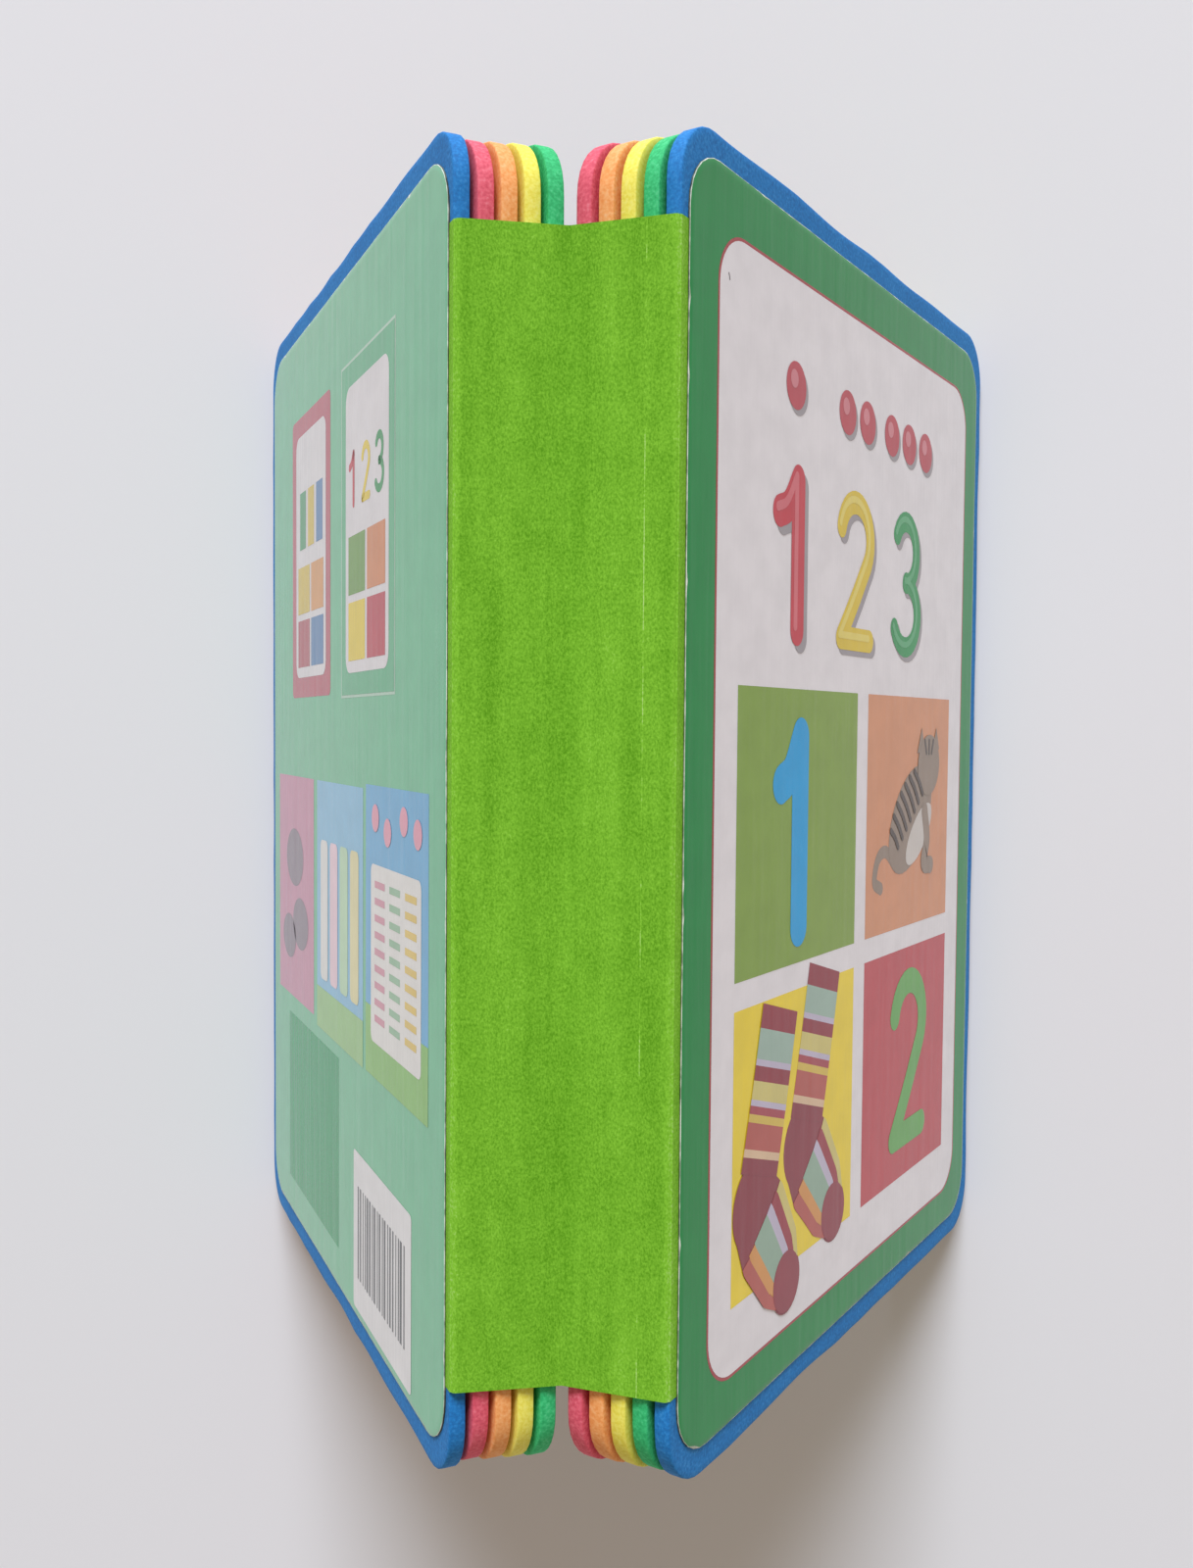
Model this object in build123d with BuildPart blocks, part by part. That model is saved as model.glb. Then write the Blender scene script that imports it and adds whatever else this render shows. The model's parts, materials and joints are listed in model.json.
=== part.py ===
"""A first number book of die-cut foam boards, standing like a tent on its fore-edges with the spine up.

The frame is in millimetres: +Z up, +Y towards the head of the book, +X the front cover's side.
The origin is on the table, under the middle of the spine.
"""

import os
from math import cos, radians, sin

from build123d import *

# Foam boards: two covers and the leaves between them
cover_width = 140.0
cover_height = 200.0
foam_thickness = 2.5
corner_radius = 10.0
leaf_height = 198.0
leaf_colours = ("green", "yellow", "orange", "red")

# How the book stands: each half leans from upright, and the leaves part in the middle
cover_lean = 28.0
spine_width = 32.0
spine_dip = 4.0
centre_gap = 1.6

# Printed cards glued to the outer faces of the covers
card_thickness = 0.4
card_spine_margin = 2.0
card_fore_margin = 4.0
card_end_margin = 4.5
card_corner_radius = 9.0

# Spine strip: one sheet that wraps the spine, its two flaps under the cards
strip_height = 169.0
strip_thickness = 0.4
strip_flap = 14.0
strip_bend_radius = 0.5

# Clearances
glue_gap = 0.05
strip_seat_gap = 0.1
strip_end_gap = 0.5

# Directions in the XZ plane for the front half: down a board, out of its printed face
down = Vector(sin(radians(cover_lean)), 0, -cos(radians(cover_lean)))
out = Vector(cos(radians(cover_lean)), 0, sin(radians(cover_lean)))

# The covers' outer spine corners lie so high that their fore-edges touch the table
corner = Vector(spine_width / 2, 0, -down.Z * cover_width + out.Z * foam_thickness)
half_spine = Vector(-spine_width / 2, 0, -spine_dip).normalized()
above_spine = Vector(half_spine.Z, 0, -half_spine.X)

# The boards of one half follow the spine's slope, spread evenly up to the gap in the middle
leaves_a_side = len(leaf_colours)
last_leaf_corner = centre_gap / 2 + out.X * foam_thickness
leaf_pitch = (spine_width / 2 - last_leaf_corner) / leaves_a_side / -half_spine.X
leaf_drop = -half_spine.Z * leaf_pitch

# The innermost leaf hangs lowest on the spine, and is as wide as lets it stand on the table
leaf_width = cover_width - leaves_a_side * leaf_drop / -down.Z

card_width = cover_width - card_spine_margin - card_fore_margin
card_height = cover_height - 2 * card_end_margin
strip_recess = strip_thickness + 2 * glue_gap


def outer_face(side, boards_in):
    """The plane of a board's outer face: x runs from the spine to the fore-edge, z out of the book.

    side is 1 for the front half and -1 for the back half; boards_in counts from the cover.
    """
    start = corner + half_spine * (leaf_pitch * boards_in)
    return Plane(
        origin=(side * start.X, 0, start.Z),
        x_dir=(side * down.X, 0, down.Z),
        z_dir=(side * out.X, 0, out.Z),
    )


def meeting_point(point, direction, other_point, other_direction):
    """Where two lines of the XZ plane cross, as a point of a sketch on Plane.XZ."""
    gap = other_point - point
    turn = direction.X * other_direction.Z - direction.Z * other_direction.X
    along = (gap.X * other_direction.Z - gap.Z * other_direction.X) / turn
    crossing = point + direction * along
    return (crossing.X, crossing.Z)


def strip_side(depth, lift):
    """One side of the folded strip from flap end to flap end: depth under the cover's face, lift over the leaves."""
    flap_line = corner - out * depth
    flap_end = flap_line + down * strip_flap
    spine_line = corner + above_spine * lift
    bend_x, bend_z = meeting_point(flap_line, down, spine_line, half_spine)
    crease = meeting_point(Vector(0, 0, 0), Vector(0, 0, 1), spine_line, half_spine)
    return [
        (flap_end.X, flap_end.Z),
        (bend_x, bend_z),
        crease,
        (-bend_x, bend_z),
        (-flap_end.X, flap_end.Z),
    ]


os.makedirs("parts", exist_ok=True)

# Cover boards, each with a shallow recess where the strip's flap is pressed into the foam
for side, cover in ((1, "front_cover"), (-1, "back_cover")):
    face = outer_face(side, 0)

    with BuildPart() as board:
        with BuildSketch(face):
            with Locations((cover_width / 2, 0)):
                RectangleRounded(cover_width, cover_height, corner_radius)
        extrude(amount=-foam_thickness)
        with BuildSketch(face):
            with Locations(((strip_flap + strip_end_gap) / 2, 0)):
                Rectangle(strip_flap + strip_end_gap, strip_height + 2 * strip_end_gap)
        extrude(amount=-strip_recess, mode=Mode.SUBTRACT)
    board.part.label = cover + "_board"
    export_step(board.part, "parts/" + cover + "_board.step")

    # The printed card lies flat on the board and over the strip's flap
    with BuildPart() as card:
        with BuildSketch(face):
            with Locations((card_spine_margin + card_width / 2, 0)):
                RectangleRounded(card_width, card_height, card_corner_radius)
        extrude(amount=card_thickness)
    card.part.label = cover + "_card"
    export_step(card.part, "parts/" + cover + "_card.step")

# Foam leaves, counted from the front cover to the back cover
for side in (1, -1):
    for place, colour in enumerate(leaf_colours):
        boards_in = place + 1 if side == 1 else leaves_a_side - place
        number = place + 1 if side == 1 else leaves_a_side + place + 1
        leaf_name = f"leaf_{number}_{colour}"
        with BuildPart() as leaf:
            with BuildSketch(outer_face(side, boards_in)):
                with Locations((leaf_width / 2, 0)):
                    RectangleRounded(leaf_width, leaf_height, corner_radius)
            extrude(amount=-foam_thickness)
        leaf.part.label = leaf_name
        export_step(leaf.part, f"parts/{leaf_name}.step")

# Spine strip: flap, bend, crease, bend, flap in one folded profile, drawn out along the spine
inside = strip_side(glue_gap + strip_thickness, strip_seat_gap)
outside = strip_side(glue_gap, strip_seat_gap + strip_thickness)
with BuildPart() as spine_strip:
    with BuildSketch(Plane.XZ):
        with BuildLine():
            FilletPolyline(*inside, radius=strip_bend_radius)
            FilletPolyline(*outside, radius=strip_bend_radius + strip_thickness)
            Line(inside[0], outside[0])
            Line(inside[-1], outside[-1])
        make_face()
    extrude(amount=strip_height / 2, both=True)
spine_strip.part.label = "spine_strip"
export_step(spine_strip.part, "parts/spine_strip.step")
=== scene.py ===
# %% [markdown]
# # A foam number book, standing like a tent
# The book is ten die-cut foam boards: two blue covers and eight leaves in four colours. A printed card is
# glued to the outside of each cover, and a lime green paper strip wraps the spine. The solid model gives
# every size, so this lesson loads it first and measures everything else from it. Lengths are written in
# millimetres, apart from the table and the lamp, which are in metres.

# %% Load the solid model
import json
from math import cos, pi, radians, sin

import bmesh
import bpy
import numpy as np
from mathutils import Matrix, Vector


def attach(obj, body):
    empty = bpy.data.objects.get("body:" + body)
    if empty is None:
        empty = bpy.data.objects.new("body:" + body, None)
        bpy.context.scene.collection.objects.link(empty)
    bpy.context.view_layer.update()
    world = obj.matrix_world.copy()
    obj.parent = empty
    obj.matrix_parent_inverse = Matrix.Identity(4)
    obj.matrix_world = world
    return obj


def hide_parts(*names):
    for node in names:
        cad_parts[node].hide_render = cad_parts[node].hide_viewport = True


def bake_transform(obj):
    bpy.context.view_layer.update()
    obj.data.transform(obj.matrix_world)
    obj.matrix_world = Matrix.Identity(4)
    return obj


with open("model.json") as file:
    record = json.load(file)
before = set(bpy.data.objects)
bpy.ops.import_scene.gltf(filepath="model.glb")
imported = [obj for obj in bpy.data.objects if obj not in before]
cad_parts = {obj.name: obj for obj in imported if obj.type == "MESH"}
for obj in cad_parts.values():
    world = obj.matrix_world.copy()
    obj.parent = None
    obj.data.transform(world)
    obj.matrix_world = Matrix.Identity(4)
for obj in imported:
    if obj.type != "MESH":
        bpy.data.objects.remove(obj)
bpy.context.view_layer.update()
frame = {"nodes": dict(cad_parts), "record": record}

MM = 0.001
rng = np.random.default_rng(7)

# %% [markdown]
# ## The slope of the boards
# Each half of the book is a stack of parallel boards that leans from the spine. Its hinge and the outward
# direction of its cover are in the record, so a point on any board is written as millimetres across the
# sheet (u, to the reader's right), up the sheet (v) and out of the book (h). That keeps the print upright
# on both covers.

# %% Place points on a board
hinge = Vector(frame["record"]["behaviour"]["joints"][0]["pos_m"]) / MM
out = Vector(frame["record"]["mounts"][0]["axis"])
down = Vector((out.z, 0, -out.x))


def on_sheet(side, middle, u, v, h):
    """A point in metres. side is 1 on the front half and -1 on the back; middle is the sheet's centre line,
    in millimetres from the spine."""
    point = hinge + down * (middle + side * u) + out * h
    return (side * point.x * MM, v * MM, point.z * MM)


def measure(node):
    """Side, centre line, width, height and the two face heights of a board or card, in millimetres."""
    points = np.array([v.co for v in frame["nodes"][node].data.vertices]) / MM
    side = 1 if points[:, 0].mean() > 0 else -1
    points[:, 0] *= side
    across = (points - np.array(hinge)) @ np.array(down)
    outward = (points - np.array(hinge)) @ np.array(out)
    width = across.max() - across.min()
    return side, (across.max() + across.min()) / 2, width, np.ptp(points[:, 1]), outward.min(), outward.max()


front_card = [round(float(x), 2) for x in measure("front_cover_card")]
print("front card (side, centre line, width, height, faces):", front_card)

# %% [markdown]
# ## Colours and nodes
# Colours are written as the sRGB hex values a paint chart would give and turned to linear light by one
# function. One small helper adds a shader node with its settings and links, so each material reads as a
# list of steps.


# %% Colour and node helpers
def linear(hex_colour):
    channels = [int(hex_colour[i:i + 2], 16) / 255 for i in (1, 3, 5)]
    return tuple(c / 12.92 if c <= 0.04045 else ((c + 0.055) / 1.055) ** 2.4 for c in channels) + (1.0,)


def add_node(tree, kind, settings=None, inputs=None, links=None):
    """Adds a node, sets its properties and input values, and links {input: (node, output)}."""
    node = tree.nodes.new(kind)
    for key, value in (settings or {}).items():
        setattr(node, key, value)
    for key, value in (inputs or {}).items():
        node.inputs[key].default_value = value
    for key, (source, output) in (links or {}).items():
        tree.links.new(source.outputs[output], node.inputs[key])
    return node


def new_material(name, hex_colour, roughness, ior=1.5):
    """A material with a plain Principled shader; returns it with its tree, shader and object coordinates."""
    material = bpy.data.materials.new(name)
    material.use_nodes = True
    tree = material.node_tree
    shader = tree.nodes["Principled BSDF"]
    shader.inputs["Base Color"].default_value = linear(hex_colour)
    shader.inputs["Roughness"].default_value = roughness
    shader.inputs["IOR"].default_value = ior
    return material, tree, shader, add_node(tree, "ShaderNodeTexCoord")


print("lime as linear light:", [round(c, 3) for c in linear("#6FB01E")])

# %% [markdown]
# ## Closed-cell foam sheet
# EVA foam is blown in a block, sliced into sheets and cut with a steel rule die. The slicing opens tiny
# cells, so the sheet is matt, with a fine grain. The cells are about 0.3 mm; the grain is drawn at 0.5 mm
# so that it shows, and its rare high spots are rubbed pale.


# %% Foam material
def noise_scale(size):
    """The noise scale that gives grains of that many millimetres."""
    return 1 / (size * MM)


def foam_sheet(name, hex_colour, dark_hex, pale_hex):
    material, tree, shader, place = new_material(name, hex_colour, 0.78, ior=1.45)
    cells = add_node(tree, "ShaderNodeTexNoise", inputs={"Scale": noise_scale(0.5), "Detail": 3.0},
                     links={"Vector": (place, "Object")})
    patches = add_node(tree, "ShaderNodeTexNoise", inputs={"Scale": noise_scale(14), "Detail": 2.0},
                       links={"Vector": (place, "Object")})
    both = add_node(tree, "ShaderNodeMix", inputs={"Factor": 0.2},
                    links={"A": (cells, "Fac"), "B": (patches, "Fac")})
    tone = add_node(tree, "ShaderNodeValToRGB", links={"Fac": (both, "Result")})
    tone.color_ramp.elements[0].position = 0.36
    tone.color_ramp.elements[0].color = linear(dark_hex)
    tone.color_ramp.elements[1].position = 0.78
    tone.color_ramp.elements[1].color = linear(pale_hex)
    tone.color_ramp.elements.new(0.54).color = linear(hex_colour)
    grain = add_node(tree, "ShaderNodeBump", inputs={"Strength": 0.12, "Distance": 0.15 * MM},
                     links={"Height": (cells, "Fac")})
    tree.links.new(tone.outputs["Color"], shader.inputs["Base Color"])
    tree.links.new(grain.outputs["Normal"], shader.inputs["Normal"])
    return material


foam = {
    "blue": foam_sheet("blue EVA foam", "#1A7EC6", "#156CB0", "#4598D6"),
    "red": foam_sheet("red EVA foam", "#E66274", "#D24C60", "#EE8895"),
    "orange": foam_sheet("orange EVA foam", "#F8AC68", "#EE964E", "#FBC490"),
    "yellow": foam_sheet("yellow EVA foam", "#F3E966", "#E8DA4A", "#F7F08C"),
    "green": foam_sheet("green EVA foam", "#38C276", "#26A962", "#68D296"),
}
print("foam colours:", sorted(foam))

# %% [markdown]
# ## Cutting a sheet
# A board or a card is a rounded rectangle cut out of a sheet. A Bevel modifier on the solid would round
# the edges, but foam gives under the die, so its cut edge also wanders a little. The mesh is therefore
# built from rings: each ring is the outline moved in by some distance at some height, and a slow random
# wave moves the outline itself.


# %% Sheet cutter
OUTLINE_STEP = 1.6
SHARP_ANGLE = radians(50)
SLOW_WAVES = (3, 5, 8, 13, 21)


def rounded_outline(width, height, radius, step):
    """Points and outward normals of a rounded rectangle about the origin, anticlockwise, step apart."""
    points, normals = [], []
    corners = ((1, -1, -90), (1, 1, 0), (-1, 1, 90), (-1, -1, 180))
    for index, (right, up, start) in enumerate(corners):
        centre = np.array([right * (width / 2 - radius), up * (height / 2 - radius)])
        for angle in np.linspace(start, start + 90, max(6, int(radius * pi / 2 / step))):
            normal = np.array([cos(radians(angle)), sin(radians(angle))])
            points.append(centre + radius * normal)
            normals.append(normal)
        straight = (height if index % 2 == 0 else width) - 2 * radius
        along = np.array([-normal[1], normal[0]])
        for distance in np.arange(step, straight - step / 2, step):
            points.append(centre + radius * normal + along * distance)
            normals.append(normal)
    return np.array(points), np.array(normals)


def slow_wave(count, size, waves):
    """A closed random wave of about that size along an outline of count points."""
    turn = np.linspace(0, 2 * pi, count, endpoint=False)
    parts = [np.sin(k * turn + rng.uniform(0, 2 * pi)) * rng.uniform(0.3, 1) for k in waves]
    return size * sum(parts) / len(waves) ** 0.5


def make_piece(name, points, faces, materials, slots):
    mesh = bpy.data.meshes.new(name)
    mesh.from_pydata([tuple(p) for p in points], [], faces)
    for material in materials:
        mesh.materials.append(material)
    mesh.polygons.foreach_set("material_index", slots)
    mesh.shade_smooth()
    mesh.set_sharp_from_angle(angle=SHARP_ANGLE)
    mesh.update()
    piece = bpy.data.objects.new(name, mesh)
    bpy.context.scene.collection.objects.link(piece)
    return piece


def cut_sheet(name, node, radius, profile, wander, materials, ring_slots):
    """Rebuilds a node's sheet. profile gives rings of (inset, height) from the outer face to the inner one,
    in millimetres; an inset is one number or one for each outline point. ring_slots gives the material of
    the outer face, of each band between two rings and of the inner face."""
    side, middle, width, height, inner, outer = measure(node)
    points, normals = rounded_outline(width, height, radius, OUTLINE_STEP)
    count = len(points)
    points = points - normals * abs(slow_wave(count, wander, SLOW_WAVES))[:, None]
    vertices, faces, slots = [], [], []
    for inset, h in profile(inner, outer, count):
        ring = points - normals * np.broadcast_to(inset, count)[:, None]
        vertices += [on_sheet(side, middle, u, v, h) for u, v in ring]
    rings = len(vertices) // count
    faces.append(list(range(count)))
    slots.append(ring_slots[0])
    for band in range(rings - 1):
        for j in range(count):
            upper, lower, following = band * count, (band + 1) * count, (j + 1) % count
            faces.append((upper + j, lower + j, lower + following, upper + following))
            slots.append(ring_slots[band + 1])
    faces.append(list(range((rings - 1) * count, rings * count))[::-1])
    slots.append(ring_slots[-1])
    piece = make_piece(name, vertices, faces, materials, slots)
    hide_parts(node)
    return piece


print("points on the outline of a 100 by 50 mm sheet:", len(rounded_outline(100, 50, 5, OUTLINE_STEP)[0]))

# %% [markdown]
# ## Covers and leaves
# The boards keep the solid model's places and sizes. Their edges are square, with a soft arris that is
# rounder on the face that the die entered. The leaves ride on the body that holds them, and each cover on
# its own body, so a cover can swing without its leaves.

# %% Cut the boards
FOAM_CORNER = 10.0
COVER_WANDER, LEAF_WANDER = 0.45, 0.18
FLAT_RIM = 1.2
ENTRY_ARRIS = ((0.26, 0), (0.08, 0.07), (0, 0.26))
EXIT_ARRIS = ((0, 0.2), (0.06, 0.06), (0.2, 0))
FOAM_BANDS = [0] * 9


def foam_edge(inner, outer, count):
    """The rings of a foam board: a flat rim on each face, and an arris of (inset, depth) at each end of the
    cut."""
    entry = [(inset, outer - depth) for inset, depth in ENTRY_ARRIS]
    leaving = [(inset, inner + depth) for inset, depth in EXIT_ARRIS]
    return [(FLAT_RIM, outer), *entry, *leaving, (FLAT_RIM, inner)]


for cover in ("front_cover", "back_cover"):
    board = cut_sheet(cover + "_foam", cover + "_board", FOAM_CORNER, foam_edge, COVER_WANDER, [foam["blue"]],
                      FOAM_BANDS)
    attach(board, cover)

leaf_nodes = sorted(name for name in frame["nodes"] if name.startswith("leaf_"))
for node in leaf_nodes:
    colour = node.split("_")[-1]
    leaf = cut_sheet(node + "_foam", node, FOAM_CORNER, foam_edge, LEAF_WANDER, [foam[colour]], FOAM_BANDS)
    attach(leaf, "leaves_and_spine")
print("leaves cut:", len(leaf_nodes))

# %% [markdown]
# ## Printed and varnished card
# The cover cards are white board, printed and varnished. Varnish is clear plastic, so at the low angle
# from which the covers are seen it mirrors the pale table, and the colours look hazy. That haze is left
# to the shader's coat. Varnish has an index near 1.5, and a thin matt one hazes less, so 1.35 was matched
# to the covers. A card is never quite flat, so a faint bump makes the varnish streaky, and ink never lies
# quite evenly. The cut edge shows the grey core of the board, painted darker than grey board as the shade
# of the gap beside it. Handling has chipped its arris white in small nicks, and that white is painted
# lighter still as the edge's glint.


# %% Card materials
INK_STRENGTH = (0.96, 1.03)


def printed_ink(name, hex_colour):
    material, tree, shader, place = new_material("varnished " + name, hex_colour, 0.5)
    shader.inputs["Specular IOR Level"].default_value = 0.0
    shader.inputs["Coat Weight"].default_value = 1.0
    shader.inputs["Coat Roughness"].default_value = 0.1
    shader.inputs["Coat IOR"].default_value = 1.35
    rub = add_node(tree, "ShaderNodeTexNoise", inputs={"Scale": noise_scale(6), "Detail": 5.0},
                   links={"Vector": (place, "Object")})
    dull = add_node(tree, "ShaderNodeMapRange", inputs={"To Min": 0.4, "To Max": 0.6},
                    links={"Value": (rub, "Fac")})
    tree.links.new(dull.outputs["Result"], shader.inputs["Roughness"])
    tone = add_node(tree, "ShaderNodeValToRGB", links={"Fac": (rub, "Fac")})
    for element, position, strength in zip(tone.color_ramp.elements, (0.35, 0.65), INK_STRENGTH):
        element.position = position
        element.color = [strength * c for c in linear(hex_colour)[:3]] + [1.0]
    tree.links.new(tone.outputs["Color"], shader.inputs["Base Color"])
    lie = add_node(tree, "ShaderNodeMapping", links={"Vector": (place, "Object")},
                   inputs={"Scale": (noise_scale(3), noise_scale(40), noise_scale(3))})
    streaks = add_node(tree, "ShaderNodeTexNoise", inputs={"Scale": 1.0, "Detail": 3.0},
                       links={"Vector": (lie, "Vector")})
    uneven = add_node(tree, "ShaderNodeBump", inputs={"Strength": 1.0, "Distance": 0.11 * MM},
                      links={"Height": (streaks, "Fac")})
    tree.links.new(uneven.outputs["Normal"], shader.inputs["Coat Normal"])
    return material


def bare_board(name, dark_hex, light_hex):
    material, tree, shader, place = new_material(name, light_hex, 0.9)
    fibres = add_node(tree, "ShaderNodeTexNoise", inputs={"Scale": noise_scale(2), "Detail": 4.0},
                      links={"Vector": (place, "Object")})
    tone = add_node(tree, "ShaderNodeValToRGB", links={"Fac": (fibres, "Fac")})
    tone.color_ramp.elements[0].position = 0.4
    tone.color_ramp.elements[0].color = linear(dark_hex)
    tone.color_ramp.elements[1].position = 0.62
    tone.color_ramp.elements[1].color = linear(light_hex)
    tree.links.new(tone.outputs["Color"], shader.inputs["Base Color"])
    return material


card_inks = {
    "front_cover": printed_ink("deep green", "#1A9046"),
    "back_cover": printed_ink("pale green", "#76C498"),
}
# The edge's white ply is drawn lighter as a painted glint, besides its real chips; its core is drawn darker
# than grey board as painted shade of the gap beside it.
chipped_ply_and_glint = bare_board("chipped white board with painted glint", "#9FB098", "#F0F3E8")
core_and_gap_shade = bare_board("cut grey board with painted gap shade", "#2A2C20", "#66684F")
print("card inks:", sorted(card_inks))

# %% Cut the cards
CARD_CORNER = 9.0
CARD_WANDER = 0.06
NICK_SHARE, NICK_SIZES = 0.045, (0.1, 0.4)
BARE_PLY, BARE_WANDER, QUICK_WAVES = 0.08, 0.05, (9, 17, 31)
ROLL_START, ROLL_MIDDLE = 0.8, 0.4
ROLL_DEPTH, INK_END_DEPTH = 0.03, 0.08
PLY_ROUNDING = ((0.02, 0.09), (0, 0.11), (0, 0.16))
INK, PLY_AND_GLINT, CORE_AND_GAP_SHADE = 0, 1, 2
# Bands of the cut edge: ink, then the white ply with its painted glint, then the core with its painted gap
# shade.
CARD_BANDS = [INK, INK, INK, INK, PLY_AND_GLINT, PLY_AND_GLINT, PLY_AND_GLINT, CORE_AND_GAP_SHADE, CORE_AND_GAP_SHADE]


def worn_edge(inner, outer, count):
    """The rings of a card: its edge is rolled down a little by the die, and has a white top ply. The print
    stops short of the edge, and here and there a nick bares more."""
    nicks = np.where(rng.random(count) > 1 - NICK_SHARE, rng.uniform(*NICK_SIZES, count), 0)
    bare = BARE_PLY + nicks + abs(slow_wave(count, BARE_WANDER, QUICK_WAVES))
    rolled = np.maximum(ROLL_MIDDLE, bare + BARE_PLY)
    ply = [(inset, outer - depth) for inset, depth in PLY_ROUNDING]
    return [(FLAT_RIM, outer), (ROLL_START, outer), (rolled, outer - ROLL_DEPTH),
            (bare, outer - INK_END_DEPTH), *ply, (0, inner)]


for cover in ("front_cover", "back_cover"):
    card = cut_sheet(cover + "_printed_card", cover + "_card", CARD_CORNER, worn_edge, CARD_WANDER,
                     [card_inks[cover], chipped_ply_and_glint, core_and_gap_shade], CARD_BANDS)
    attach(card, cover)
    print("card cut:", card.name, len(card.data.polygons), "faces")

# %% [markdown]
# ## Printing
# The print is laid on as flat fields, like screen printing: each field is one polygon in one ink, a few
# hundredths of a millimetre above the last. A field's place is in millimetres from the spine edge of the
# cover (s) and from the middle of its height (v). An image would be quicker, but it would blur close up
# and couldn't be edited.


# %% Print helpers
INK_LAYER = 0.02
PRINT_STEP = 1.0
DISC_POINTS, CAP_POINTS = 32, 17
inks = {}


def ink(hex_colour):
    if hex_colour not in inks:
        inks[hex_colour] = printed_ink("ink " + hex_colour, hex_colour)
    return inks[hex_colour]


class Print:
    """Fields of ink gathered for one card; s runs from the spine, whichever side the card is on."""

    def __init__(self, node):
        self.side, self.middle, *_, self.face = measure(node)
        self.points, self.faces, self.slots, self.materials = [], [], [], []

    def field(self, outline, hex_colour, layer):
        """One polygon of (s, v) points; layer says how high it lies."""
        ring = [(self.side * (s - self.middle), v) for s, v in outline]
        area = sum(a[0] * b[1] - b[0] * a[1] for a, b in zip(ring, ring[1:] + ring[:1]))
        if area < 0:
            ring.reverse()
        if ink(hex_colour) not in self.materials:
            self.materials.append(ink(hex_colour))
        first = len(self.points)
        height = self.face + INK_LAYER * layer
        self.points += [on_sheet(self.side, self.middle, u, v, height) for u, v in ring]
        self.faces.append(list(range(first, first + len(ring))))
        self.slots.append(self.materials.index(ink(hex_colour)))

    def lay(self, name, body):
        piece = make_piece(name, self.points, self.faces, self.materials, self.slots)
        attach(piece, body)


def grown(box, margin):
    """A box of (s_from, s_to, v_from, v_to) with a margin added all round."""
    s_from, s_to, v_from, v_to = box
    return (s_from - margin, s_to + margin, v_from - margin, v_to + margin)


def block(s_from, s_to, v_from, v_to, radius=0.0):
    """A rectangle, with round corners if it has a radius."""
    if not radius:
        return [(s_from, v_from), (s_to, v_from), (s_to, v_to), (s_from, v_to)]
    points, _ = rounded_outline(s_to - s_from, v_to - v_from, radius, PRINT_STEP)
    return [(u + (s_from + s_to) / 2, v + (v_from + v_to) / 2) for u, v in points]


def disc(s, v, radius, radius_up=None, turn=0.0):
    """A circle, or an ellipse with a second radius and a turn in degrees."""
    c, k = cos(radians(turn)), sin(radians(turn))
    angles = np.linspace(0, 2 * pi, DISC_POINTS, endpoint=False)
    around = [(radius * cos(a), (radius_up or radius) * sin(a)) for a in angles]
    return [(s + x * c - y * k, v + x * k + y * c) for x, y in around]


def smooth(points, steps=8):
    """A Catmull-Rom curve through the points."""
    p = [np.array(q, float) for q in points]
    p = [2 * p[0] - p[1], *p, 2 * p[-1] - p[-2]]
    curve = []
    for a, b, c, d in zip(p, p[1:], p[2:], p[3:]):
        for t in np.linspace(0, 1, steps, endpoint=False):
            curve.append(0.5 * (2 * b + (c - a) * t + (2 * a - 5 * b + 4 * c - d) * t ** 2
                                + (3 * b - a - 3 * c + d) * t ** 3))
    return np.array(curve + [p[-2]])


def ribbon(line, width, round_ends=True):
    """The outline of a stroke along a line of points; width is one number or one for each point."""
    line = np.asarray(line, float)
    run = np.gradient(line, axis=0)
    run /= np.linalg.norm(run, axis=1)[:, None]
    across = np.stack([-run[:, 1], run[:, 0]], axis=1)
    half = np.broadcast_to(width, len(line))[:, None] / 2
    left, right = line + across * half, (line - across * half)[::-1]
    if not round_ends:
        return [tuple(q) for q in [*left, *right]]

    def cap(centre, start, radius):
        angles = np.arctan2(start[1], start[0]) - np.linspace(0, pi, CAP_POINTS)[1:-1]
        return [centre + radius * np.array([cos(a), sin(a)]) for a in angles]

    ends = cap(line[-1], across[-1], half[-1][0]), cap(line[0], -across[0], half[0][0])
    return [tuple(q) for q in [*left, *ends[0], *right, *ends[1]]]


print("a stroke outline has", len(ribbon([(0, 0), (1, 0), (2, 0)], 1.0)), "points")

# %% [markdown]
# ## Numerals
# A numeral is two strokes of a round pen in a unit box. The three bright ones have a grey shadow below them
# and a paler line along the lit side, so each of those is three layers of the same strokes.


# %% Numeral strokes
def arc(centre, radii, start, end, steps=18):
    angles = np.radians(np.linspace(start, end, steps))
    return [(centre[0] + radii[0] * cos(a), centre[1] + radii[1] * sin(a)) for a in angles]


SHADOW_SHIFT, LIGHT_SHIFT = np.array((0.28, -0.22)), np.array((-0.14, 0.12))
LIGHT_PEN = 0.3
NEXT_STROKE = 0.3
NUMERALS = {
    1: [smooth([(0.02, 0.76), (0.32, 0.82), (0.62, 1.0)]), [(0.62, 1.0), (0.62, 0.5), (0.62, 0.0)]],
    2: [arc((0.5, 0.73), (0.5, 0.27), 165, -35) + [(0.55, 0.33), (0.25, 0.14), (0.02, 0.0)],
        [(0.02, 0.0), (0.5, 0.0), (1.0, 0.0)]],
    3: [arc((0.45, 0.755), (0.45, 0.245), 150, -88), arc((0.45, 0.26), (0.53, 0.26), 88, -152)],
}


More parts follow.
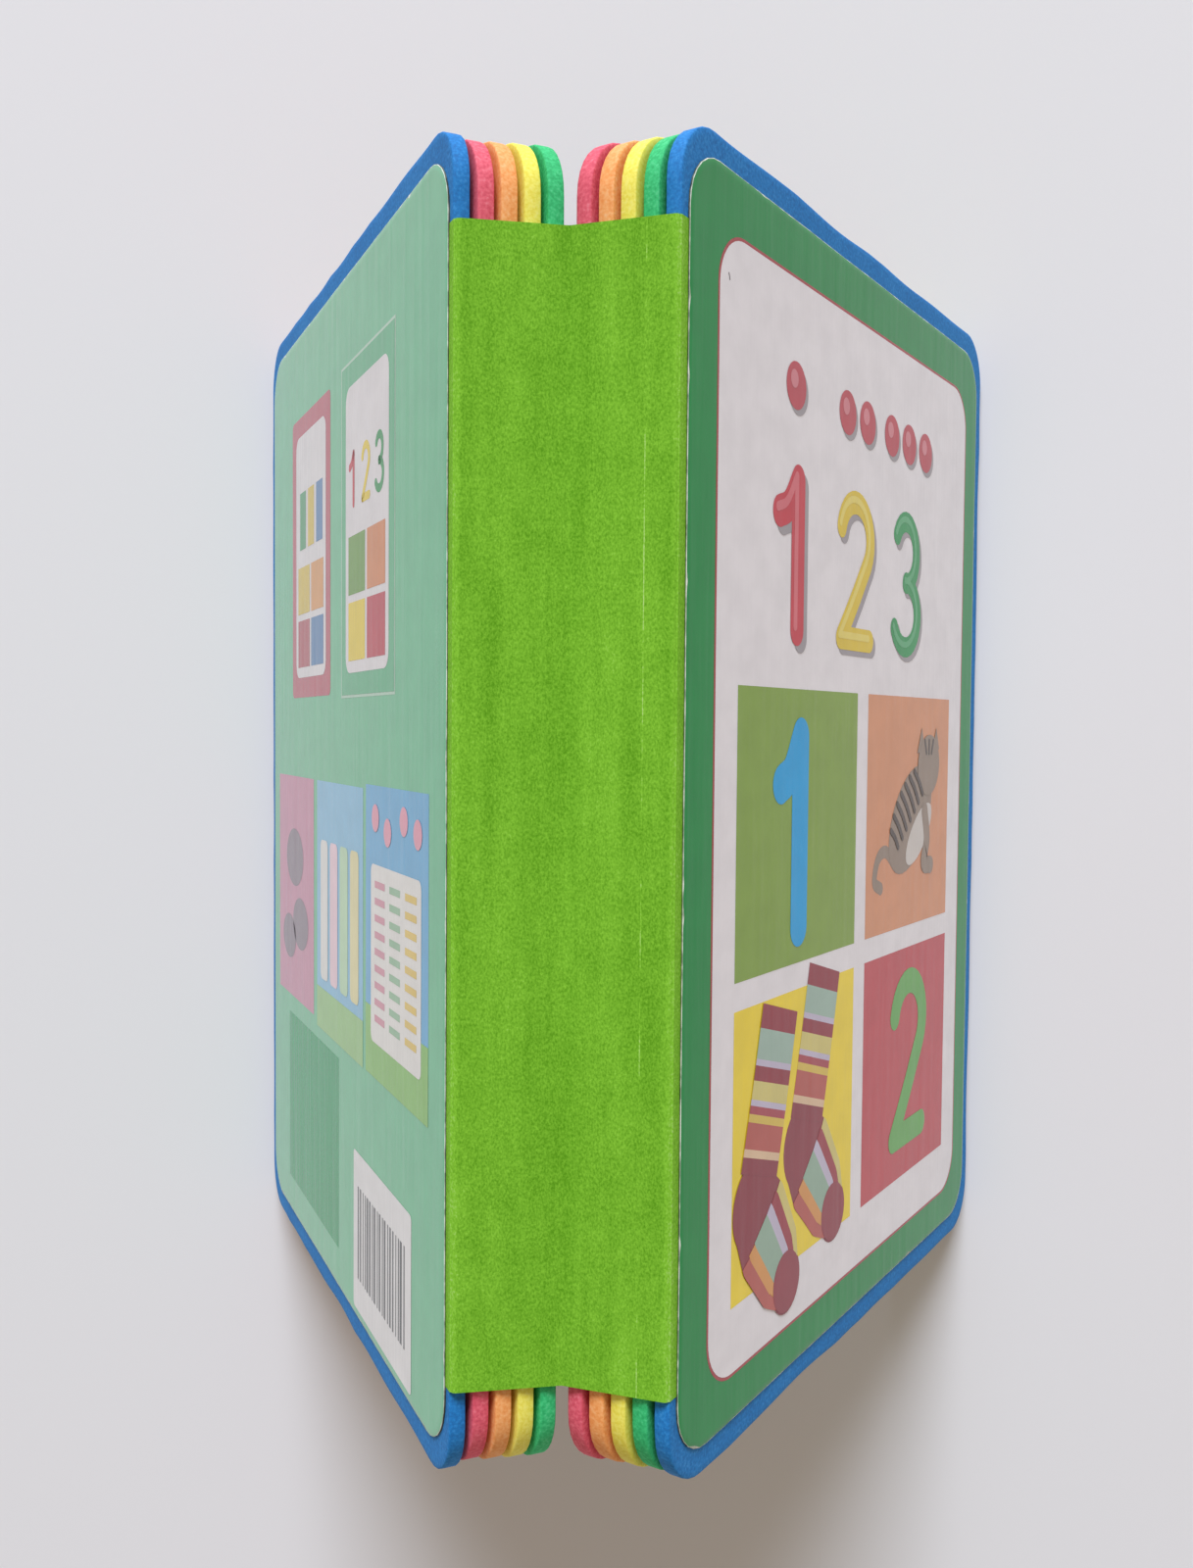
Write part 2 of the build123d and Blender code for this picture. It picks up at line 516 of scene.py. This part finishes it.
def numeral(card, number, s_from, s_to, v_from, v_to, pen, body, light=None, shade=None, layer=4):
    """Prints a numeral whose stroke centres fill the box."""
    for index, stroke in enumerate(NUMERALS[number]):
        line = np.array([(s_from + x * (s_to - s_from), v_from + y * (v_to - v_from)) for x, y in stroke])
        level = layer + NEXT_STROKE * index
        if shade:
            card.field(ribbon(line + SHADOW_SHIFT * pen, pen), shade, level)
        card.field(ribbon(line, pen), body, level + 1)
        if light:
            card.field(ribbon(line + LIGHT_SHIFT * pen, LIGHT_PEN * pen), light, level + 2)


print("numerals drawn:", sorted(NUMERALS))

# %% [markdown]
# ## Front cover print
# A white panel with a red keyline carries three bright numerals over four coloured tiles. Counting dots
# stand over the numerals. Two tiles show a number and the other two show that many things: one striped
# cat, two striped socks.

# %% Front cover fields
PANEL, PANEL_CORNER = (11.1, 127.9, -87.9, 86.1), 8.0
KEYLINE, KEYLINE_CORNER = 0.5, 8.4
NUMERAL_ROW = (29.2, 53.8)
BRIGHT_NUMERALS = (
    (1, (32.5, 44.5), 5.2, "#D2404C", "#E0747C"),
    (2, (58.5, 72.5), 4.2, "#E8CC3A", "#F0DE70"),
    (3, (86.0, 99.0), 4.0, "#33A05A", "#62B67E"),
)
SHADOW_INK = "#A9A3A6"
DOT_RADIUS, GLINT_RADIUS, DOT_SPACING, DOT_ROW = 3.9, 1.5, 9.6, 69.0

front = Print("front_cover_card")
front.field(block(*grown(PANEL, KEYLINE), KEYLINE_CORNER), "#B24A4C", 1)
front.field(block(*PANEL, PANEL_CORNER), "#F0ECEE", 2)
for number, (s_from, s_to), pen, body, light in BRIGHT_NUMERALS:
    numeral(front, number, s_from, s_to, *NUMERAL_ROW, pen, body, light, SHADOW_INK)
    for dot in range(number):
        centre = (s_from + s_to) / 2 + DOT_SPACING * (dot - (number - 1) / 2)
        front.field(disc(centre + 0.9, DOT_ROW - 0.8, DOT_RADIUS), SHADOW_INK, 4)
        front.field(disc(centre, DOT_ROW, DOT_RADIUS), "#C7505A", 5)
        front.field(disc(centre - 0.8, DOT_ROW + 1.0, GLINT_RADIUS), "#DE8A92", 6)
print("fields on the panel:", len(front.faces))

# %% Front cover tiles
TILE_COLUMNS = ((18.5, 67.5), (72.8, 120.0))
TILE_ROWS = ((-26.5, 19.5), (-77.5, -31.0))
TILE_INKS = (("#8AAA46", "#E09C73"), ("#F8DE3A", "#CA5259"))

for row, row_inks in zip(TILE_ROWS, TILE_INKS):
    for column, tile_ink in zip(TILE_COLUMNS, row_inks):
        front.field(block(*column, *row), tile_ink, 3)
numeral(front, 1, 34.5, 47.0, -20.5, 11.5, 6.6, "#1AA9E8")
numeral(front, 2, 89.5, 106.0, -69.0, -38.0, 5.2, "#6FB45C")
print("fields with the tiles:", len(front.faces))

# %% [markdown]
# ## Pictures on the tiles
# The cat is a few ellipses and strokes, drawn about the middle of its body, with dark stripes that follow
# its back. A sock is a leg and a foot: a loop walks down the leg and prints one stripe at a time, and the
# foot's stripes run along it from the heel to the toe. A short dark mark in the corner of the panel is a
# scuff from use.


# %% Striped cat
CAT_COAT, CAT_STRIPE, CAT_BELLY = "#9C8A7A", "#574C45", "#D8D1CA"
CAT_LONG, CAT_WIDE, CAT_TILT = 17.0, 10.5, 36
CAT_TAIL = ((-11, -10.5), (-17, -7), (-22, -8.5), (-24, -13.5), (-20, -15.5))
CAT_LEG = ((10, 1.5), (12, -5.5), (10, -11.5), (15, -12.5))
CAT_HEAD = (12.5, 13)


def striped_cat(card, s, v, scale, layer):
    def put(points):
        return [(s + scale * x, v + scale * y) for x, y in points]

    card.field(put(ribbon(smooth(CAT_TAIL), 3.0)), CAT_COAT, layer)
    card.field(put(disc(0, 0, CAT_LONG, CAT_WIDE, CAT_TILT)), CAT_COAT, layer + 1)
    card.field(put(disc(6, -4, 11, 4.6, CAT_TILT)), CAT_BELLY, layer + 2)
    card.field(put(ribbon(smooth(CAT_LEG), 4.4)), CAT_COAT, layer + 3)
    for ear in (6.6, 17.6):
        card.field(put([(ear - 2.8, 16), (ear + 2.8, 17), (ear + 0.4, 22.5)]), CAT_COAT, layer + 3.5)
    card.field(put(disc(*CAT_HEAD, 8.2, 7.6, 20)), CAT_COAT, layer + 4)
    along = np.array([cos(radians(CAT_TILT)), sin(radians(CAT_TILT))])
    across = np.array([-along[1], along[0]])
    for place in np.linspace(-12.5, 8.5, 7):
        top = 0.9 * CAT_WIDE * (1 - (place / CAT_LONG) ** 2) ** 0.5
        bend = ((0, 1), (1.2, 0.5), (1.6, 0))
        line = [along * (place + shift) + across * top * share for shift, share in bend]
        card.field(put(ribbon(smooth(line), 1.5)), CAT_STRIPE, layer + 5)
    for step in (-3.2, 0, 3.2):
        brow = [(CAT_HEAD[0] + share * step, y) for share, y in ((1, 19.2), (0.8, 17.6), (0.6, 16))]
        card.field(put(ribbon(brow, 1.0)), CAT_STRIPE, layer + 5)


striped_cat(front, 97, -5, 0.82, 4)
print("fields with the cat:", len(front.faces))

# %% Striped socks
LEG_WIDTH, TOE_RADIUS = 13.8, 5.2
FOOT_WIDTHS = ([0, 0.3, 0.8, 1], [15.0, 18.0, 15.6, 11.0])
LEG_STRIPES = ((2.0, "#9C3E48"), (2.8, "#A9C3B4"), (0.6, "#CDC4D8"), (1.2, "#9C3E48"), (1.8, "#DCCF80"),
               (0.6, "#CDC4D8"), (0.7, "#B4505A"), (0.7, "#E3C65C"), (2.6, "#C2645A"), (0.6, "#E8C8A4"),
               (1.6, "#96404A"))
FOOT_STRIPES = ((-0.42, 0.16, "#C2645A"), (-0.27, 0.14, "#E3A25C"), (-0.04, 0.32, "#9FBBA6"),
                (0.18, 0.12, "#CDC4D8"), (0.31, 0.14, "#A8444E"), (0.44, 0.12, "#DCCF80"))


def striped_sock(card, leg, foot, layer):
    """Prints a sock along two lines. A leg stripe is (share of the length, ink); a foot stripe is (place
    across the foot, share of its width, ink)."""
    line = smooth(leg, 40)
    shares = np.cumsum([0.0] + [share for share, _ in LEG_STRIPES])
    edges = np.rint(shares / shares[-1] * (len(line) - 1)).astype(int)
    for (_, stripe), first, last in zip(LEG_STRIPES, edges, edges[1:]):
        card.field(ribbon(line[first:last + 1], LEG_WIDTH, round_ends=False), stripe, layer + 1)
    line = smooth(foot, 12)
    width = np.interp(np.linspace(0, 1, len(line)), *FOOT_WIDTHS)
    card.field(ribbon(line, width), "#96404A", layer)
    run = np.gradient(line, axis=0)
    across = np.stack([-run[:, 1], run[:, 0]], axis=1) / np.linalg.norm(run, axis=1)[:, None]
    past_heel = slice(len(line) // 4, None)
    for share, part, stripe in FOOT_STRIPES:
        shifted = line + across * share * width[:, None]
        card.field(ribbon(shifted[past_heel], part * width[past_heel], round_ends=False), stripe, layer + 2)
    card.field(disc(*line[-1], TOE_RADIUS), "#9C444E", layer + 3)


RIGHT_LEG, RIGHT_FOOT = [(54.0, -29), (50.5, -42), (46.8, -54.5)], [(45.0, -58.5), (51.5, -65.5), (59.0, -74)]
LEFT_LEG, LEFT_FOOT = [(35.5, -33), (31.8, -46.5), (28.0, -59)], [(26.2, -63.5), (32.5, -71.5), (39.0, -80)]
SCUFF = [(13.9, 80.2), (14.1, 79.8), (14.2, 79.4)]

striped_sock(front, RIGHT_LEG, RIGHT_FOOT, 4)
striped_sock(front, LEFT_LEG, LEFT_FOOT, 8)
front.field(ribbon(SCUFF, 0.3), "#6A6466", 3)
front.lay("front_cover_print", "front_cover")
print("front fields:", len(front.faces), "in", len(front.materials), "inks")

# %% [markdown]
# ## Back cover print
# The back has five small panels in two rows, a patch of deeper green and a white sticker with plain bars.
# They are drawn as simple blocks. The two upper panels are small covers, and one of them repeats the front:
# three numerals over four tiles.

# %% Back cover, upper row
SMALL_CORNER, PAGE_CORNER = 1.5, 3.0
RED_COVER, RED_PAGE = (77.0, 114.0, 18.8, 78.0), (81.0, 110.0, 23.0, 74.0)
GREEN_COVER, GREEN_PAGE = (30.1, 67.3, 18.5, 78.7), (33.5, 64.0, 22.5, 74.5)
SMALL_GAP = 0.7
PAGE_INK = "#E6E2E2"


def small_tiles(card, s_from, s_to, v_from, v_to, colours, layer):
    """Two by two small tiles, as on the front."""
    half_s, half_v = (s_to - s_from) / 2, (v_to - v_from) / 2
    for index, colour in enumerate(colours):
        s, v = s_from + half_s * (index % 2), v_from + half_v * (index // 2)
        card.field(block(*grown((s, s + half_s, v, v + half_v), -SMALL_GAP)), colour, layer)


back = Print("back_cover_card")
back.field(block(*RED_COVER, SMALL_CORNER), "#C05A68", 1)
back.field(block(*RED_PAGE, PAGE_CORNER), PAGE_INK, 2)
for index, colour in enumerate(("#5A86B5", "#DCC24A", "#4FA06A")):
    back.field(block(84 + 8 * index, 90 + 8 * index, 50, 62), colour, 3)
small_tiles(back, 82.5, 108.5, 24.5, 47.0, ("#5A86B5", "#B8505A", "#E0A05A", "#DCC24A"), 3)

back.field(block(*grown(GREEN_COVER, KEYLINE)), "#B9D8C2", 1)
back.field(block(*GREEN_COVER), "#66B98A", 2)
back.field(block(*GREEN_PAGE, PAGE_CORNER), PAGE_INK, 3)
for number, s, colour in ((1, 58.5, "#CB3B45"), (2, 49.0, "#E9CF33"), (3, 39.5, "#2F9A55")):
    for stroke in NUMERALS[number]:
        back.field(ribbon([(s + 2.4 - 4.8 * x, 53 + 9 * y) for x, y in stroke], 1.5), colour, 4)
small_tiles(back, 35.0, 62.5, 24.0, 48.0, ("#C4404E", "#EBD23C", "#D98C58", "#72A042"), 4)
print("fields in the upper row:", len(back.faces))

# %% Back cover, lower row
PINK_PANEL = (92.4, 129.4, -47.0, 1.8)
SKY_PANEL, SKY_GROUND = (50.8, 89.2, -48.4, 1.8), -40.0
LIST_PANEL, LIST_GROUND = (10.2, 48.8, -48.2, 2.6), -36.0
LIST_PAGE = (14.0, 45.0, -42.0, -11.0)
COLUMN_STEP, COLUMN_WIDTH, ROW_STEP, ROW_HEIGHT, LIST_ROWS = 9.6, 6.6, 2.9, 1.2, 9

back.field(block(*PINK_PANEL), "#CF8FA6", 1)
for s, v, wide in ((112, -16, 9), (106, -30, 8), (118, -34, 7)):
    back.field(disc(s, v, wide, 0.7 * wide), "#8C7C86", 2)
back.field(block(*SKY_PANEL), "#8CC4E2", 1)
back.field(block(*SKY_PANEL[:3], SKY_GROUND), "#9CCB82", 2)
for index, colour in enumerate(("#E7DFA8", "#BFE0B8", "#F0D2DA", "#E7E6E0")):
    back.field(block(54 + 8.4 * index, 60.5 + 8.4 * index, -38, -10, SMALL_CORNER), colour, 3)
back.field(block(*LIST_PANEL), "#6FB3DC", 1)
back.field(block(*LIST_PANEL[:3], LIST_GROUND), "#8CC468", 2)
back.field(block(*LIST_PAGE, SMALL_CORNER), "#EAE8E2", 3)
for column, colour in enumerate(("#E6C96A", "#9CC3A0", "#D99AA8")):
    for row in range(LIST_ROWS):
        s, v = 16.5 + COLUMN_STEP * column, -15 - ROW_STEP * row
        back.field(block(s, s + COLUMN_WIDTH, v, v + ROW_HEIGHT), colour, 4)
for s, v in ((16, -4), (24, -2.5), (34, -5), (42, -3)):
    back.field(disc(s, v, 2.4), "#E9A2B4", 4)
print("fields with the lower row:", len(back.faces))

# %% Back cover, patch and sticker
GREEN_PATCH = (70.0, 118.0, -88.0, -51.0)
STICKER, STICKER_CORNER = (19.2, 57.6, -94.0, -64.8), 1.0
BARS, BAR_SPACING, BAR_WIDTHS = (23.0, 54.0, -88.0, -71.0), 1.7, (0.4, 1.2)

back.field(block(*GREEN_PATCH), "#12A05E", 1)
back.field(block(*STICKER, STICKER_CORNER), "#E7E6E4", 2)
for bar in np.arange(*BARS[:2], BAR_SPACING):
    back.field(block(bar, bar + rng.uniform(*BAR_WIDTHS), *BARS[2:]), "#55585A", 3)
back.lay("back_cover_print", "back_cover")
print("back fields:", len(back.faces), "in", len(back.materials), "inks")

# %% [markdown]
# ## Spine strip
# The strip is a soft, fibrous paper, dyed lime green in the pulp, so its colour is slightly cloudy and it
# has no gloss. Its fibres are about 0.1 mm thick and are drawn at 0.28 mm so that they show, with slow
# bands along the sheet. Along the two folds it is drawn paler: partly rubbed by handling, partly a painted
# highlight where the bends catch the light. Handling has also left a scratch beside the front fold. One
# colour ramp from dark to pale does it all, and the wear and the painted highlight only add to what goes in.


# %% Spine paper
FOLD_WEAR_AND_HIGHLIGHT_HALF_WIDTH = 1.4
SCRATCH_FROM_FOLD, SCRATCH_HALF_WIDTH = 4.8, 0.14


def spine_paper():
    material, tree, shader, place = new_material("lime pulp-dyed paper", "#6FB01E", 0.92, ior=1.4)
    shader.inputs["Specular IOR Level"].default_value = 0.25

    def grains(across, along):
        """Noise with grains of that many millimetres across and along the strip."""
        lie = add_node(tree, "ShaderNodeMapping", links={"Vector": (place, "Object")},
                       inputs={"Scale": (noise_scale(across), noise_scale(along), noise_scale(across))})
        return add_node(tree, "ShaderNodeTexNoise", inputs={"Scale": 1.0, "Detail": 3.0, "Roughness": 0.6},
                        links={"Vector": (lie, "Vector")})

    def line_along(source, output, distance, half_width):
        """1 on a line along the strip, that far from the crease, and 0 beyond its half width."""
        away = add_node(tree, "ShaderNodeMath", {"operation": "SUBTRACT"}, {1: distance * MM},
                        {0: (source, output)})
        gap = add_node(tree, "ShaderNodeMath", {"operation": "ABSOLUTE"}, links={0: (away, "Value")})
        return add_node(tree, "ShaderNodeMapRange", {"interpolation_type": "SMOOTHSTEP"},
                        {"From Max": half_width * MM, "To Min": 1.0, "To Max": 0.0},
                        {"Value": (gap, "Value")})

    fibres = grains(0.28, 0.45)
    clouds = add_node(tree, "ShaderNodeMix", inputs={"Factor": 0.65},
                      links={"A": (grains(4, 6), "Fac"), "B": (grains(4, 70), "Fac")})
    paper = add_node(tree, "ShaderNodeMix", inputs={"Factor": 0.4},
                     links={"A": (fibres, "Fac"), "B": (clouds, "Result")})
    where = add_node(tree, "ShaderNodeSeparateXYZ", links={"Vector": (place, "Object")})
    either_half = add_node(tree, "ShaderNodeMath", {"operation": "ABSOLUTE"}, links={0: (where, "X")})
    # Paler along both folds: partly rubbed by handling, partly a painted highlight where the bends catch the
    # light.
    fold_wear_and_highlight = line_along(either_half, "Value", hinge.x, FOLD_WEAR_AND_HIGHLIGHT_HALF_WIDTH)
    rubbed_and_highlit = add_node(tree, "ShaderNodeMath", {"operation": "MULTIPLY_ADD"}, {1: 0.1},
                      {0: (fold_wear_and_highlight, "Result"), 2: (paper, "Result")})
    scratch = line_along(where, "X", hinge.x - SCRATCH_FROM_FOLD, SCRATCH_HALF_WIDTH)
    touch = add_node(tree, "ShaderNodeMapRange", inputs={"From Min": 0.5, "From Max": 0.6},
                     links={"Value": (grains(3, 12), "Fac")})
    broken = add_node(tree, "ShaderNodeMath", {"operation": "MULTIPLY"},
                      links={0: (scratch, "Result"), 1: (touch, "Result")})
    worn = add_node(tree, "ShaderNodeMath", {"operation": "MULTIPLY_ADD"}, {1: 0.25},
                    {0: (broken, "Value"), 2: (rubbed_and_highlit, "Value")})
    tone = add_node(tree, "ShaderNodeValToRGB", links={"Fac": (worn, "Value")})
    tone.color_ramp.elements[0].position = 0.37
    tone.color_ramp.elements[0].color = linear("#5A9A14")
    tone.color_ramp.elements[1].position = 1.0
    tone.color_ramp.elements[1].color = linear("#DCEBB0")
    tone.color_ramp.elements.new(0.62).color = linear("#8ACB38")
    rough = add_node(tree, "ShaderNodeBump", inputs={"Strength": 0.3, "Distance": 0.1 * MM},
                     links={"Height": (fibres, "Fac")})
    tree.links.new(tone.outputs["Color"], shader.inputs["Base Color"])
    tree.links.new(rough.outputs["Normal"], shader.inputs["Normal"])
    return material


lime_paper = spine_paper()
print("strip material:", lime_paper.name)

# %% [markdown]
# ## Parting the strip
# When a cover opens, the strip bends at that cover's spine corner. So the solid's own mesh is copied and
# parted at the crease into two halves. The foam boards above are cut without the solid's shallow recess,
# so the flap is lifted by a fraction of a millimetre to lie on the foam, under the card.

# %% Part the strip
FLAP_LIFT = 0.15
WELD = 0.001 * MM
STRIP_SHARP_ANGLE = radians(35)

for side, cover in ((1, "front_cover"), (-1, "back_cover")):
    half = bmesh.new()
    half.from_mesh(frame["nodes"]["spine_strip"].data)
    bmesh.ops.remove_doubles(half, verts=half.verts, dist=WELD)
    everything = half.verts[:] + half.edges[:] + half.faces[:]
    cut = bmesh.ops.bisect_plane(half, geom=everything, plane_co=(0, 0, 0), plane_no=(-side, 0, 0),
                                 clear_outer=True)
    bmesh.ops.edgeloop_fill(half, edges=[e for e in cut["geom_cut"] if isinstance(e, bmesh.types.BMEdge)])
    bmesh.ops.recalc_face_normals(half, faces=half.faces)
    for vertex in half.verts:
        outward = Vector((side * vertex.co.x, 0, vertex.co.z)) / MM - hinge
        if outward.dot(down) > 0:
            vertex.co += Vector((side * out.x, 0, out.z)) * FLAP_LIFT * MM
    mesh = bpy.data.meshes.new("spine_strip_" + cover)
    half.to_mesh(mesh)
    half.free()
    mesh.materials.clear()
    mesh.materials.append(lime_paper)
    mesh.shade_smooth()
    mesh.set_sharp_from_angle(angle=STRIP_SHARP_ANGLE)
    strip = bpy.data.objects.new("spine_strip_" + cover, mesh)
    bpy.context.scene.collection.objects.link(strip)
    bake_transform(strip)
    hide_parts("spine_strip")
    print("half strip:", strip.name, len(mesh.polygons), "faces")

# %% [markdown]
# ## Table and light
# The book stands on a pale table by a window. One wide lamp far beyond the head end stands about 30
# degrees high: it lights the head, leaves a soft shadow at the tail and shows the paper's grain. A warm,
# even sky fills the rest, and where it is seen or mirrored a pale backdrop stands for it.

# %% Table
TABLE_HALF = 2.0

floor_mesh = bpy.data.meshes.new("table")
corners = [(TABLE_HALF * x, TABLE_HALF * y, 0) for x, y in ((-1, -1), (1, -1), (1, 1), (-1, 1))]
floor_mesh.from_pydata(corners, [], [(0, 1, 2, 3)])
floor_mesh.materials.append(new_material("pale matt table", "#E2E1E2", 0.85)[0])
table = bpy.data.objects.new("table", floor_mesh)
bpy.context.scene.collection.objects.link(table)
print("table:", 2 * TABLE_HALF, "m across")

# %% Light
WINDOW_PLACE, WINDOW_TARGET = Vector((-0.2, 5.2, 3.1)), Vector((0, 0, 0.06))
WINDOW_SIZE, WINDOW_WATTS = (2.8, 1.9), 500

world = bpy.data.worlds.new("even sky")
world.use_nodes = True
sky = world.node_tree.nodes["Background"]
sky.inputs["Color"].default_value = linear("#FFEDDA")
sky.inputs["Strength"].default_value = 0.39
backdrop = add_node(world.node_tree, "ShaderNodeBackground",
                    inputs={"Color": linear("#E4E4E6"), "Strength": 1.0})
ray = add_node(world.node_tree, "ShaderNodeLightPath")
mirrored = add_node(world.node_tree, "ShaderNodeMath", {"operation": "MAXIMUM"},
                    links={0: (ray, "Is Glossy Ray"), 1: (ray, "Is Transmission Ray")})
seen = add_node(world.node_tree, "ShaderNodeMath", {"operation": "MAXIMUM"},
                links={0: (ray, "Is Camera Ray"), 1: (mirrored, "Value")})
around = add_node(world.node_tree, "ShaderNodeMixShader",
                  links={0: (seen, "Value"), 1: (sky, "Background"), 2: (backdrop, "Background")})
world.node_tree.links.new(around.outputs["Shader"], world.node_tree.nodes["World Output"].inputs["Surface"])
bpy.context.scene.world = world

lamp = bpy.data.lights.new("window", "AREA")
lamp.shape = "RECTANGLE"
lamp.size, lamp.size_y = WINDOW_SIZE
lamp.energy = WINDOW_WATTS
lamp.color = linear("#E8F1FF")[:3]
window = bpy.data.objects.new("window", lamp)
window.location = WINDOW_PLACE
window.rotation_euler = (WINDOW_TARGET - WINDOW_PLACE).to_track_quat("-Z", "Y").to_euler()
bpy.context.scene.collection.objects.link(window)
bpy.context.scene.view_settings.view_transform = "Standard"
print("lamp:", window.name, WINDOW_WATTS, "W")

# %% [markdown]
# ## Camera
# The camera hangs about 19 cm over the spine and looks almost straight down. Its place, turn and focal
# length were fitted to the edges of the covers, so the near spine looms and the fore-edges fall away.

# %% Camera
FOCAL_PIXELS, FRAME_HEIGHT_PIXELS, SENSOR_MM = 1390.2, 1600, 36.0
CAMERA_PLACE = Vector((19.53, 12.61, 318.18))
CAMERA_TURN = (-2.28, 4.383, 0.454)

camera_data = bpy.data.cameras.new("camera")
camera_data.sensor_fit = "VERTICAL"
camera_data.sensor_height = SENSOR_MM
camera_data.lens = FOCAL_PIXELS / FRAME_HEIGHT_PIXELS * SENSOR_MM
camera_data.clip_start = 10 * MM
camera = bpy.data.objects.new("camera", camera_data)
camera.location = CAMERA_PLACE * MM
camera.rotation_euler = [radians(angle) for angle in CAMERA_TURN]
bpy.context.scene.collection.objects.link(camera)
bpy.context.scene.camera = camera
print("lens:", round(camera_data.lens, 2), "mm")
